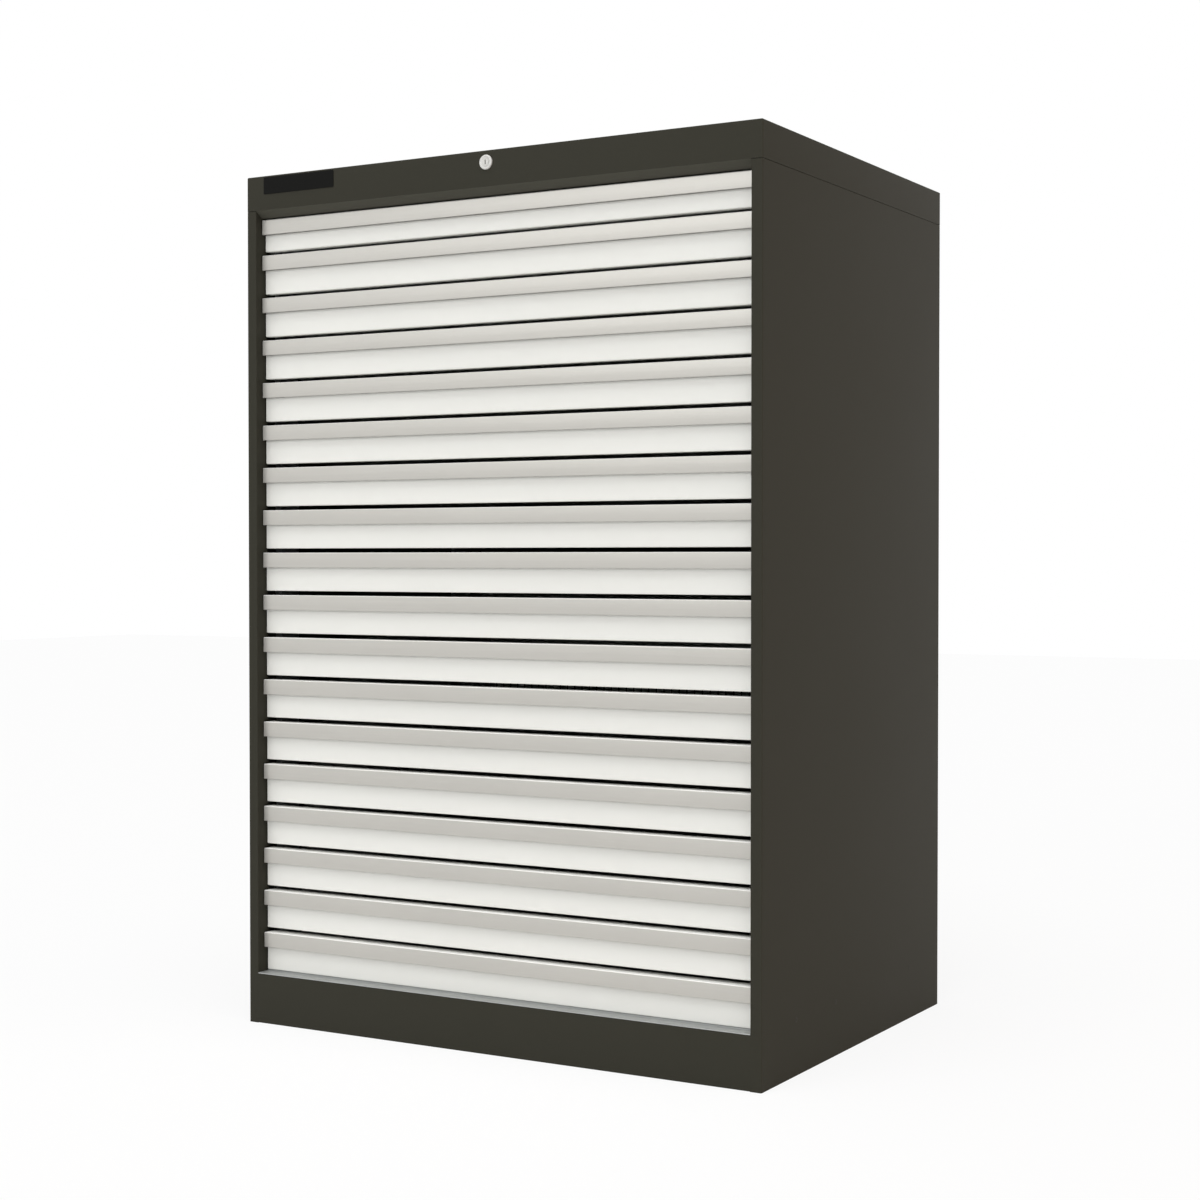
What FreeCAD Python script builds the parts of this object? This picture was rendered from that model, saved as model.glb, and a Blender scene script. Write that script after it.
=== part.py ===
import FreeCAD, Part
import math
import os

# Heavy-duty drawer cabinet, millimetres.
# Origin at the centre of the base on the floor, +X to the right seen from the front,
# +Y to the back, +Z up. "Depth" is measured backwards from the cabinet's front plane.

# Overall size
CAB_W = 1010.0
CAB_D = 755.0
CAB_H = 1500.0
FRONT_Y = -CAB_D / 2.0

# Housing sheet and folds
SHEET = 1.5
HALF_W = CAB_W / 2.0
SKIN_IN = HALF_W - SHEET
JAMB_IN = 485.2
JAMB_RETURN_DEPTH = 30.0
REAR_FLANGE_X = 487.0
BEND_OUT = 2.5
SEAM = 0.8
COVER_SKIRT = 60.0
COVER_BOTTOM = CAB_H - COVER_SKIRT
PANEL_TOP = COVER_BOTTOM - SEAM
REAR_INSET = 3.0

# Header lip between the jambs
LIP_DEPTH = 17.0
LIP_Z = 1428.3
LIP_FLANGE_DEPTH = 30.0
HEADER_UPRIGHT_TOP = 1465.0

# Base
FLOOR_TOP = 89.6
PLINTH_TOP = FLOOR_TOP - SHEET
PLINTH_FLANGE = 20.0
BEAM_T = 3.0
BEAM_IN = 462.0
BEAM_FRONT = 31.0
BEAM_REAR = 750.0
ANCHOR_X = 483.0
ANCHOR_DEPTHS = (60.0, 695.0)
ANCHOR_R = 5.5
REAR_BEAM_HALF = 461.0
REAR_BEAM_FLANGE = 30.0

# Drawer stack
DRAWERS = 18
PITCH = 75.2
FIRST_Z = 91.9

# Drawer front and handle, heights above the drawer's own lower edge
FRONT_HALF = 483.0
PAN_T = 1.2
PAN_FACE = 24.5
PAN_FLANGE_BACK = 39.6
RISER_BACK = 41.0
STEP_Z = 40.5
HANDLE_FACE = 15.0
HANDLE_T = 2.0
HANDLE_BACK = 43.0
HANDLE_NOSE = 1.5
HANDLE_LOW = 41.4
HANDLE_TOP = 67.5
HANDLE_PLATE_T = 1.8
TOP_DRAWER_CUT = 12.5

# Drawer tray
TRAY_HALF = 460.0
TRAY_T = 1.2
TRAY_FRONT = RISER_BACK
TRAY_REAR = 716.0
TRAY_FLOOR = 5.0
TRAY_TOP = 60.0

# Roller slides: drawer runner, roller carriage and cabinet rail on each side
CHANNEL_T = 2.0
CHANNEL_LOW = 7.0
CHANNEL_HIGH = 39.0
RUNNER_FRONT = 42.6
RUNNER_LIP = 471.0
RAIL_FRONT = 44.0
SLIDE_REAR = 742.0
RAIL_LIP = 476.0
RAIL_WEB_OUT = 490.5
ROLLER_R = 13.7
ROLLER_SIDES = 14
ROLLER_Z = 23.0
ROLLER_DEPTHS = (60.0, 391.0, 722.0)
ROLLER_IN = 466.0
ROLLER_OUT = 484.5
PLATE_IN = 463.0
PLATE_HALF_H = 11.0
PLATE_FRONT = 45.0
PLATE_REAR = 737.0

# Upright posts that carry the rails
POST_DEPTHS = (75.0, 640.0)
POST_LEN = 50.0
POST_TOP = CAB_H - SHEET

# Central lock: turning plug, sliding rod, vertical bar with one finger for each drawer
LOCK_Z = 1480.0
ROSETTE_R = 12.3
ROSETTE_PROUD = 3.0
BARREL_R = 9.0
BARREL_REAR = 30.0
PLUG_R = 6.5
RUN_CLEAR = 0.05
KEYWAY_W = 1.6
KEYWAY_H = 8.0
KEYWAY_DEEP = 4.0
CAM_T = 3.0
CAM_HALF_W = 5.0
CRANK_R = 8.0
CAM_TAIL = 6.5
CAM_HEAD = 12.0
DRIVE_PIN_R = 2.5
SLOT_SLACK = 0.4
REST_ANGLE = math.radians(-45.0)
PIN_X = CRANK_R * math.cos(REST_ANGLE)
PIN_Z = LOCK_Z + CRANK_R * math.sin(REST_ANGLE)
TRAVEL = 2.0 * PIN_X
ROD_FRONT = 40.0
ROD_T = 2.0
ROD_LOW = 1450.0
ROD_HIGH = 1462.0
ROD_LEFT = -82.0
ROD_RIGHT = 503.0
LUG_TOP = 1483.0
LUG_HALF = 9.0
LUG_SLOT_LOW = 1467.0
LUG_SLOT_HIGH = 1479.0
BAR_IN = 492.0
BAR_OUT = 496.0
BAR_FRONT = 46.0
BAR_BACK = 56.0
BAR_LOW = 128.0
BAR_PIN_R = 2.5
BAR_PIN_Z = 1467.0
END_PLATE_LEFT = 468.0
END_PLATE_LOW = 1447.0
END_PLATE_TOP = 1475.0
BAR_TOP = 1472.0
BAR_HEAD_IN = 478.0
BAR_HEAD_LOW = 1460.0
BAR_PIN_X = 482.0
FINGER_IN = 476.0
FINGER_FRONT = 48.0
FINGER_BACK = 52.0
FINGER_LOW = 51.5
FINGER_H = 8.0
CATCH_OUT = 482.0
CATCH_FRONT = 54.0
CATCH_BACK = 62.0
CATCH_LOW = 41.0
CATCH_HIGH = 49.0
GUIDE_WALL = 4.0
GUIDE_SLACK = 0.5
BAR_GUIDE_DRAWERS = (2, 9, 17)
BAR_GUIDE_RISE = 65.0
BAR_GUIDE_H = 14.0
ROD_GUIDE_XS = (-64.0, 300.0)
ROD_GUIDE_L = 14.0


def at(depth):
    """Y coordinate of a depth behind the front plane."""
    return FRONT_Y + depth


def block(x0, x1, d0, d1, z0, z1):
    """Rectangular solid between two X values, two depths and two heights."""
    corner = FreeCAD.Vector(x0, at(d0), z0)
    return Part.makeBox(x1 - x0, d1 - d0, z1 - z0, corner)


def prism(points, direction):
    """Solid swept from a closed flat outline along a direction."""
    wire = Part.makePolygon(points + [points[0]])
    return Part.Face(wire).extrude(direction)


def along_x(outline, x0, x1):
    """Outline of (depth, height) pairs carried from x0 to x1."""
    points = [FreeCAD.Vector(x0, at(d), z) for d, z in outline]
    return prism(points, FreeCAD.Vector(x1 - x0, 0, 0))


def along_z(outline, z0, z1):
    """Outline of (x, depth) pairs carried from z0 to z1."""
    points = [FreeCAD.Vector(x, at(d), z0) for x, d in outline]
    return prism(points, FreeCAD.Vector(0, 0, z1 - z0))


def along_depth(outline, d0, d1):
    """Outline of (x, height) pairs carried from depth d0 to depth d1."""
    points = [FreeCAD.Vector(x, at(d0), z) for x, z in outline]
    return prism(points, FreeCAD.Vector(0, d1 - d0, 0))


def disc_along_depth(x, z, radius, d0, d1):
    """Round solid about a line that runs front to back."""
    centre = FreeCAD.Vector(x, at(d0), z)
    return Part.makeCylinder(radius, d1 - d0, centre, FreeCAD.Vector(0, 1, 0))


def roller(depth, z, x0, x1):
    """Slide roller about a line from side to side, its rim given as short flats."""
    outline = []
    for side in range(ROLLER_SIDES):
        turn = 2.0 * math.pi * side / ROLLER_SIDES
        outline.append((depth + ROLLER_R * math.sin(turn), z + ROLLER_R * math.cos(turn)))
    return along_x(outline, x0, x1)


def mirrored(shape):
    """The same shape on the cabinet's other side."""
    return shape.mirror(FreeCAD.Vector(0, 0, 0), FreeCAD.Vector(1, 0, 0))


def rounded_edges(shape, radius, chosen):
    """Rounds those straight edges whose middle point the test picks."""
    edges = []
    for edge in shape.Edges:
        middle = edge.valueAt((edge.FirstParameter + edge.LastParameter) / 2.0)
        if chosen(middle.x, middle.y - FRONT_Y, middle.z, edge):
            edges.append(edge)
    return shape.makeFillet(radius, edges)


def save(name, shapes):
    """Writes one sub-part, made of one or more separate solids."""
    Part.makeCompound(shapes).exportStep("parts/" + name + ".step")


def drawer_z(number):
    """Height of a drawer front's lower edge; drawer 1 is the top one."""
    return FIRST_Z + (DRAWERS - number) * PITCH


def side_panel():
    """Right side skin folded round into the front jamb, its inner return and the rear flange."""
    outline = [
        (JAMB_IN, 0.0),
        (HALF_W, 0.0),
        (HALF_W, CAB_D),
        (REAR_FLANGE_X, CAB_D),
        (REAR_FLANGE_X, CAB_D - SHEET),
        (SKIN_IN, CAB_D - SHEET),
        (SKIN_IN, SHEET),
        (JAMB_IN + SHEET, SHEET),
        (JAMB_IN + SHEET, JAMB_RETURN_DEPTH),
        (JAMB_IN, JAMB_RETURN_DEPTH),
    ]
    panel = along_z(outline, 0.0, PANEL_TOP)

    def corner(x, depth, z, edge):
        """The outer corner between jamb and side."""
        return abs(x - HALF_W) < 0.1 and abs(depth) < 0.1 and edge.Length > CAB_D

    return rounded_edges(panel, BEND_OUT, corner)


def rear_panel():
    """Flat back sheet, held by the rear flanges and standing up inside the cover's skirt."""
    back = CAB_D - SHEET
    return block(-SKIN_IN, SKIN_IN, back - SHEET, back, REAR_INSET, CAB_H - COVER_SKIRT / 2.0)


def top_cover():
    """Lid with a skirt all round, rounded folds and the hole for the lock."""
    outer = block(-HALF_W, HALF_W, 0.0, CAB_D, COVER_BOTTOM, CAB_H)
    outer = rounded_edges(outer, BEND_OUT, cover_fold)
    inner = block(-SKIN_IN, SKIN_IN, SHEET, CAB_D - SHEET, COVER_BOTTOM, CAB_H - SHEET)
    hole = disc_along_depth(0.0, LOCK_Z, BARREL_R + RUN_CLEAR, -SHEET, 2.0 * SHEET)
    return outer.cut(inner).cut(hole)


def cover_fold(x, depth, z, edge):
    """The four upright corners of the cover and its upper front edge."""
    upright = abs(x) > HALF_W - 0.1 and (depth < 0.1 or depth > CAB_D - 0.1)
    upper_front = depth < 0.1 and z > CAB_H - 0.1
    return upright or upper_front


def header_rail():
    """Sloping lip above the top drawer, with an upright behind the cover's skirt."""
    slope = (COVER_BOTTOM - LIP_Z) / LIP_DEPTH
    inner_drop = (2.0 * SHEET) * slope
    outline = [
        (0.0, COVER_BOTTOM),
        (LIP_DEPTH, LIP_Z),
        (LIP_FLANGE_DEPTH, LIP_Z),
        (LIP_FLANGE_DEPTH, LIP_Z + SHEET),
        (LIP_DEPTH + 0.5, LIP_Z + SHEET),
        (2.0 * SHEET, COVER_BOTTOM + SHEET - inner_drop / 2.0),
        (2.0 * SHEET, HEADER_UPRIGHT_TOP),
        (SHEET, HEADER_UPRIGHT_TOP),
        (SHEET, COVER_BOTTOM),
    ]
    return along_x(outline, -JAMB_IN, JAMB_IN)


def floor_panel():
    """Floor sheet, its front edge between the jambs, notched round their returns."""
    notch = JAMB_RETURN_DEPTH + 0.3
    outline = [
        (-JAMB_IN, 0.0),
        (JAMB_IN, 0.0),
        (JAMB_IN, notch),
        (SKIN_IN, notch),
        (SKIN_IN, CAB_D - 2.0 * SHEET),
        (-SKIN_IN, CAB_D - 2.0 * SHEET),
        (-SKIN_IN, notch),
        (-JAMB_IN, notch),
    ]
    return along_z(outline, PLINTH_TOP, FLOOR_TOP)


def plinth_front():
    """Front kick plate with a fold back at its upper and lower edges."""
    outline = [
        (0.0, 0.0),
        (PLINTH_FLANGE, 0.0),
        (PLINTH_FLANGE, SHEET),
        (SHEET, SHEET),
        (SHEET, PLINTH_TOP - SHEET),
        (PLINTH_FLANGE, PLINTH_TOP - SHEET),
        (PLINTH_FLANGE, PLINTH_TOP),
        (0.0, PLINTH_TOP),
    ]
    return along_x(outline, -JAMB_IN, JAMB_IN)


def base_beam():
    """Right base angle with the holes for the floor anchors."""
    flange = block(BEAM_IN, SKIN_IN, BEAM_FRONT, BEAM_REAR, 0.0, BEAM_T)
    leg = block(SKIN_IN - BEAM_T, SKIN_IN, BEAM_FRONT, BEAM_REAR, BEAM_T, PLINTH_TOP)
    beam = flange.fuse(leg).removeSplitter()
    for depth in ANCHOR_DEPTHS:
        centre = FreeCAD.Vector(ANCHOR_X, at(depth), -BEAM_T)
        beam = beam.cut(Part.makeCylinder(ANCHOR_R, 3.0 * BEAM_T, centre))
    return beam


def base_rear():
    """Rear base angle between the two beams."""
    outline = [
        (BEAM_REAR - REAR_BEAM_FLANGE, 0.0),
        (BEAM_REAR, 0.0),
        (BEAM_REAR, PLINTH_TOP),
        (BEAM_REAR - BEAM_T, PLINTH_TOP),
        (BEAM_REAR - BEAM_T, BEAM_T),
        (BEAM_REAR - REAR_BEAM_FLANGE, BEAM_T),
    ]
    return along_x(outline, -REAR_BEAM_HALF, REAR_BEAM_HALF)


def post(front):
    """Right upright post, a channel open towards the side skin."""
    rear = front + POST_LEN
    outline = [
        (SKIN_IN, front),
        (RAIL_WEB_OUT, front),
        (RAIL_WEB_OUT, rear),
        (SKIN_IN, rear),
        (SKIN_IN, rear - SHEET),
        (RAIL_WEB_OUT + SHEET, rear - SHEET),
        (RAIL_WEB_OUT + SHEET, front + SHEET),
        (SKIN_IN, front + SHEET),
    ]
    return along_z(outline, FLOOR_TOP, POST_TOP)


def channel(web_side, lip_side, d0, d1, base_z):
    """Slide channel with its web at one X and both lips ending at the other."""
    inward = math.copysign(CHANNEL_T, lip_side - web_side)
    low = base_z + CHANNEL_LOW
    high = base_z + CHANNEL_HIGH
    outline = [
        (web_side, low),
        (lip_side, low),
        (lip_side, low + CHANNEL_T),
        (web_side + inward, low + CHANNEL_T),
        (web_side + inward, high - CHANNEL_T),
        (lip_side, high - CHANNEL_T),
        (lip_side, high),
        (web_side, high),
    ]
    return along_depth(outline, d0, d1)


def cabinet_rail(base_z):
    """Right fixed rail of one drawer."""
    return channel(RAIL_WEB_OUT, RAIL_LIP, RAIL_FRONT, SLIDE_REAR, base_z)


def drawer_runner(base_z):
    """Right runner fixed to the tray's side wall."""
    return channel(TRAY_HALF, RUNNER_LIP, RUNNER_FRONT, SLIDE_REAR, base_z)


def carriage_side(base_z):
    """Right roller carriage: a bar and three wide rollers that fill both channels."""
    middle = base_z + ROLLER_Z
    low = middle - PLATE_HALF_H
    high = middle + PLATE_HALF_H
    pieces = [block(PLATE_IN, ROLLER_IN, PLATE_FRONT, PLATE_REAR, low, high)]
    for depth in ROLLER_DEPTHS:
        pieces.append(roller(depth, middle, ROLLER_IN, ROLLER_OUT))
    return pieces


def tray(base_z, top):
    """Open drawer tray."""
    outer = block(-TRAY_HALF, TRAY_HALF, TRAY_FRONT, TRAY_REAR, base_z + TRAY_FLOOR, base_z + top)
    wall = TRAY_HALF - TRAY_T
    floor = base_z + TRAY_FLOOR + TRAY_T
    inner = block(-wall, wall, TRAY_FRONT + TRAY_T, TRAY_REAR - TRAY_T, floor, base_z + top)
    return outer.cut(inner)


def front_pan(base_z, drop):
    """Folded front: lower fold, face, step back under the handle and the wall behind it."""
    step = base_z + STEP_Z - drop
    under_plate = base_z + HANDLE_TOP - drop - HANDLE_PLATE_T
    outline = [
        (PAN_FACE, base_z),
        (PAN_FLANGE_BACK, base_z),
        (PAN_FLANGE_BACK, base_z + PAN_T),
        (PAN_FACE + PAN_T, base_z + PAN_T),
        (PAN_FACE + PAN_T, step - PAN_T),
        (RISER_BACK, step - PAN_T),
        (RISER_BACK, under_plate),
        (RISER_BACK - PAN_T, under_plate),
        (RISER_BACK - PAN_T, step),
        (PAN_FACE, step),
    ]
    return along_x(outline, -FRONT_HALF, FRONT_HALF)


def handle(base_z, drop):
    """Full-width grip moulding: upright face with a rounded nose and a flat top."""
    low = base_z + HANDLE_LOW - drop
    top = base_z + HANDLE_TOP - drop
    outline = [
        (HANDLE_FACE, low),
        (HANDLE_FACE + HANDLE_T, low),
        (HANDLE_FACE + HANDLE_T, top - HANDLE_PLATE_T),
        (HANDLE_BACK, top - HANDLE_PLATE_T),
        (HANDLE_BACK, top),
        (HANDLE_FACE, top),
    ]
    bar = along_x(outline, -FRONT_HALF, FRONT_HALF)

    def nose(x, depth, z, edge):
        """The long edge where face and top meet."""
        return abs(depth - HANDLE_FACE) < 0.1 and abs(z - top) < 0.1

    return rounded_edges(bar, HANDLE_NOSE, nose)


def lock_catch(base_z):
    """Block on the tray's right wall that stops behind the lock finger."""
    low = base_z + CATCH_LOW
    high = base_z + CATCH_HIGH
    return block(TRAY_HALF, CATCH_OUT, CATCH_FRONT, CATCH_BACK, low, high)


def drawer(number):
    """All pieces of one drawer."""
    base_z = drawer_z(number)
    drop = TOP_DRAWER_CUT if number == 1 else 0.0
    runner = drawer_runner(base_z)
    return [
        tray(base_z, TRAY_TOP - drop),
        front_pan(base_z, drop),
        handle(base_z, drop),
        runner,
        mirrored(runner),
        lock_catch(base_z),
    ]


def carriage(number):
    """Both roller carriages of one drawer."""
    right = carriage_side(drawer_z(number))
    return right + [mirrored(piece) for piece in right]


def lock_body():
    """Fixed lock: round rosette on the skirt and the barrel behind it."""
    rosette = disc_along_depth(0.0, LOCK_Z, ROSETTE_R, -ROSETTE_PROUD, 0.0)
    barrel = disc_along_depth(0.0, LOCK_Z, BARREL_R, 0.0, BARREL_REAR)
    bore = disc_along_depth(0.0, LOCK_Z, PLUG_R + RUN_CLEAR, -ROSETTE_PROUD, BARREL_REAR)
    return rosette.fuse(barrel).cut(bore)


def lock_plug():
    """Turning plug with its keyway, the cam at its rear and the drive pin."""
    plug = disc_along_depth(0.0, LOCK_Z, PLUG_R, -ROSETTE_PROUD, BARREL_REAR + RUN_CLEAR)
    keyway = block(
        -KEYWAY_W / 2.0,
        KEYWAY_W / 2.0,
        -ROSETTE_PROUD,
        KEYWAY_DEEP - ROSETTE_PROUD,
        LOCK_Z - KEYWAY_H / 2.0,
        LOCK_Z + KEYWAY_H / 2.0,
    )
    cam_front = BARREL_REAR + RUN_CLEAR
    cam_back = cam_front + CAM_T
    along = (math.cos(REST_ANGLE), math.sin(REST_ANGLE))
    across = (-along[1], along[0])
    outline = []
    for reach, side in ((-CAM_TAIL, -1), (CAM_HEAD, -1), (CAM_HEAD, 1), (-CAM_TAIL, 1)):
        x = reach * along[0] + side * CAM_HALF_W * across[0]
        z = LOCK_Z + reach * along[1] + side * CAM_HALF_W * across[1]
        outline.append((x, z))
    cam = along_depth(outline, cam_front, cam_back)
    pin = disc_along_depth(PIN_X, PIN_Z, DRIVE_PIN_R, cam_back, ROD_FRONT + ROD_T + 1.0)
    return [plug.cut(keyway), cam, pin]


def lock_rod():
    """Flat rod with an upright slot for the drive pin and a sloping slot at its right end."""
    outline = [
        (ROD_LEFT, ROD_LOW),
        (END_PLATE_LEFT, ROD_LOW),
        (END_PLATE_LEFT, END_PLATE_LOW),
        (ROD_RIGHT, END_PLATE_LOW),
        (ROD_RIGHT, END_PLATE_TOP),
        (END_PLATE_LEFT, END_PLATE_TOP),
        (END_PLATE_LEFT, ROD_HIGH),
        (PIN_X + LUG_HALF, ROD_HIGH),
        (PIN_X + LUG_HALF, LUG_TOP),
        (PIN_X - LUG_HALF, LUG_TOP),
        (PIN_X - LUG_HALF, ROD_HIGH),
        (ROD_LEFT, ROD_HIGH),
    ]
    rod = along_depth(outline, ROD_FRONT, ROD_FRONT + ROD_T)
    half = DRIVE_PIN_R + SLOT_SLACK
    upright = block(
        PIN_X - half, PIN_X + half, ROD_FRONT, ROD_FRONT + ROD_T, LUG_SLOT_LOW, LUG_SLOT_HIGH
    )
    return rod.cut(upright).cut(sloping_slot())


def sloping_slot():
    """Slot at 45 degrees that turns the rod's sideways travel into the bar's drop."""
    half = BAR_PIN_R + SLOT_SLACK
    x0 = BAR_PIN_X
    z0 = BAR_PIN_Z
    reach = half / math.sqrt(2.0)
    over = (half + SLOT_SLACK) / math.sqrt(2.0)
    start = (x0 - over, z0 + over)
    finish = (x0 + TRAVEL + over, z0 - TRAVEL - over)
    outline = [
        (start[0] - reach, start[1] - reach),
        (finish[0] - reach, finish[1] - reach),
        (finish[0] + reach, finish[1] + reach),
        (start[0] + reach, start[1] + reach),
    ]
    return along_depth(outline, ROD_FRONT, ROD_FRONT + ROD_T)


def lock_bar():
    """Vertical bar with a finger above every drawer's catch, its head and the head's pin."""
    pieces = [block(BAR_IN, BAR_OUT, BAR_FRONT, BAR_BACK, BAR_LOW, BAR_TOP)]
    for number in range(1, DRAWERS + 1):
        low = drawer_z(number) + FINGER_LOW
        pieces.append(block(FINGER_IN, BAR_IN, FINGER_FRONT, FINGER_BACK, low, low + FINGER_H))
    pieces.append(block(BAR_HEAD_IN, BAR_IN, BAR_FRONT, BAR_BACK, BAR_HEAD_LOW, BAR_TOP))
    front = ROD_FRONT - 1.0
    pieces.append(disc_along_depth(BAR_PIN_X, BAR_PIN_Z, BAR_PIN_R, front, BAR_FRONT))
    return pieces


def bar_guide(number):
    """Block on the side skin with a window for the lock bar, between two fingers."""
    z = drawer_z(number) + BAR_GUIDE_RISE
    low = BAR_IN - GUIDE_SLACK
    high = BAR_OUT + GUIDE_SLACK
    front = BAR_FRONT - GUIDE_SLACK
    back = BAR_BACK + GUIDE_SLACK
    inner = low - 0.7
    body = block(inner, SKIN_IN, front - GUIDE_WALL, back + GUIDE_WALL, z, z + BAR_GUIDE_H)
    return body.cut(block(low, high, front, back, z, z + BAR_GUIDE_H))


def rod_guide(x):
    """Hanger under the lid with a window for the lock rod."""
    front = ROD_FRONT - GUIDE_SLACK
    back = ROD_FRONT + ROD_T + GUIDE_SLACK
    low = ROD_LOW - GUIDE_SLACK
    high = ROD_HIGH + GUIDE_SLACK
    body = block(
        x, x + ROD_GUIDE_L, front - GUIDE_WALL, back + GUIDE_WALL, low - GUIDE_WALL, CAB_H - SHEET
    )
    return body.cut(block(x, x + ROD_GUIDE_L, front, back, low, high))


def build():
    """Writes every sub-part."""
    os.makedirs("parts", exist_ok=True)
    panel = side_panel()
    save("side_panel_right", [panel])
    save("side_panel_left", [mirrored(panel)])
    save("rear_panel", [rear_panel()])
    save("top_cover", [top_cover()])
    save("header_rail", [header_rail()])
    save("floor_panel", [floor_panel()])
    save("plinth_front", [plinth_front()])
    beam = base_beam()
    save("base_beam_right", [beam])
    save("base_beam_left", [mirrored(beam)])
    save("base_rear", [base_rear()])
    for place, front in zip(("front", "rear"), POST_DEPTHS):
        upright = post(front)
        save("post_" + place + "_right", [upright])
        save("post_" + place + "_left", [mirrored(upright)])
    rails = [cabinet_rail(drawer_z(number)) for number in range(1, DRAWERS + 1)]
    save("rails_right", rails)
    save("rails_left", [mirrored(rail) for rail in rails])
    for number in range(1, DRAWERS + 1):
        save("drawer_%02d" % number, drawer(number))
        save("carriage_%02d" % number, carriage(number))
    save("lock_body", [lock_body()])
    save("lock_plug", lock_plug())
    save("lock_rod", [lock_rod()])
    save("lock_bar", lock_bar())
    save("lock_bar_guides", [bar_guide(number) for number in BAR_GUIDE_DRAWERS])
    save("lock_rod_guides", [rod_guide(x) for x in ROD_GUIDE_XS])


build()
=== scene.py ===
"""Looks of the heavy-duty drawer cabinet.

Folded painted sheet, satin grips, slotted trays, zinc roller slides and a plain studio.
"""

import math

import bmesh
import bpy
import numpy as np
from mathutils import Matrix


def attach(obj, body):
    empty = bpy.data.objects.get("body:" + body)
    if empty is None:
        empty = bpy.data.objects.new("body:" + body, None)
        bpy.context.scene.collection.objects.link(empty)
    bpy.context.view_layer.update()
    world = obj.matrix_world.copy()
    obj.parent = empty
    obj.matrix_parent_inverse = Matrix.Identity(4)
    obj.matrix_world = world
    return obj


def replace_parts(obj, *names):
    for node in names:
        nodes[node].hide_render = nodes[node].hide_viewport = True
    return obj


MM = 0.001
FRONT_Y = -0.3775

# Sizes in millimetres, most of them the solids' own; depth is measured back from the front plane
HALF_W = 505.0
CAB_D = 755.0
CAB_H = 1500.0
SHEET = 1.5
BEND = 1.75
JAMB_IN = 485.2
JAMB_RETURN = 30.0
REAR_FLANGE = 487.0
COVER_BOTTOM = 1440.0
COVER_FOLD = 2.5
PANEL_TOP = 1439.2
PLINTH_TOP = 88.1
DRAWERS = 18
PITCH = 75.2
FIRST_Z = 91.9
FRONT_HALF = 483.0
PAN_T = 1.2
PAN_BEND = 1.3
PAN_FRONT = 24.5
PAN_HEM = 39.6
PAN_STEP = 43.0
TOP_CUT = 12.5
GRIP_FACE = 15.0
GRIP_FOOT = 41.4
GRIP_TOP = 67.5
GRIP_T = 1.8
CATCH = (460.0, 482.0, 54.0, 62.0)
CATCH_LOW = 41.0
CATCH_HIGH = 49.0
SLOT_PITCH = 17.0
SLOT_WIDTH = 2.4
SLOT_LOW = 14.0
SLOT_HIGH = 33.0
TRAY_HALF = 460.0
TRAY_FRONT = 41.0
TRAY_REAR = 716.0
TRAY_FLOOR = 5.0
TRAY_RIM = 60.0
TRAY_HEM = 7.0
RUNNER_WEB = 461.0
RUNNER_LIP = 471.0
RUNNER_LOW = 8.0
RUNNER_HIGH = 38.0
RUNNER_FRONT = 42.6
RUNNER_T = 2.0
SLIDE_REAR = 742.0
BAR_IN = 463.0
BAR_OUT = 466.0
BAR_ENDS = (45.0, 737.0)
BAR_HALF = 11.0
ROLLER_DEPTHS = (60.0, 391.0, 722.0)
ROLLER_Z = 23.0
ROLLER_R = 13.7
LOCK_Z = 1480.0
LIP_BOTTOM = 1428.3
LIP_REAR = 30.0
PLATE_LEFT = -467.0
PLATE_RIGHT = -314.0
PLATE_LOW = 1467.5
PLATE_HIGH = 1497.0
SCREW_PROUD = 0.1
SEAM_STRIP_X = 502.9
SEAM_STRIP_ENDS = (18.0, 737.0)
SEAM_STRIP_HEIGHTS = (1424.0, 1452.0)
SIDE_SCREWS = ((128.0, 90.0), (284.5, 90.0), (612.0, 92.0))
FLANGE_RIVETS = (70.0, 340.0, 610.0, 880.0, 1150.0, 1405.0)
FLANGE_RIVET_X = 496.0
TOP_RIVETS = (120.0, 300.0, 460.0)
TOP_RIVET_Z = 1428.0

WHITE = (1.0, 1.0, 1.0, 1.0)
EVEN = (1.0, 1.0, 1.0)


# Shapes


def rounded_line(corners, radius, steps=6):
    """Open line through corners with each inner corner turned into an arc of its own radius;
    a corner on a straight run stays a single point.

    The arc's centre lies where both neighbouring runs, moved sideways by the radius, meet;
    its points run evenly in angle between the two tangent points. Returns points and normals,
    and on an arc the normal is the direction from the centre, signed so that it stays on one side.
    """
    corners = np.asarray(corners, float)
    runs = np.diff(corners, axis=0)
    runs /= np.linalg.norm(runs, axis=1)[:, None]
    sides = np.stack([-runs[:, 1], runs[:, 0]], axis=1)
    points = [corners[:1]]
    normals = [sides[:1]]
    radii = np.broadcast_to(radius, len(corners) - 2)
    bends = zip(corners[1:-1], runs[:-1], runs[1:], sides[:-1], radii)
    for corner, before, after, side, radius in bends:
        turn = math.atan2(before[0] * after[1] - before[1] * after[0], before @ after)
        if abs(turn) < 1e-9:
            points.append(corner[None])
            normals.append(side[None])
            continue
        reach = radius * math.tan(abs(turn) / 2.0)
        centre = corner - before * reach + side * radius * np.sign(turn)
        start = -side * np.sign(turn)
        angles = np.linspace(0.0, turn, steps + 1)
        spokes = np.stack(
            [
                start[0] * np.cos(angles) - start[1] * np.sin(angles),
                start[0] * np.sin(angles) + start[1] * np.cos(angles),
            ],
            axis=1,
        )
        points.append(centre + spokes * radius)
        normals.append(-spokes * np.sign(turn))
    points.append(corners[-1:])
    normals.append(sides[-1:])
    return np.concatenate(points), np.concatenate(normals)


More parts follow.
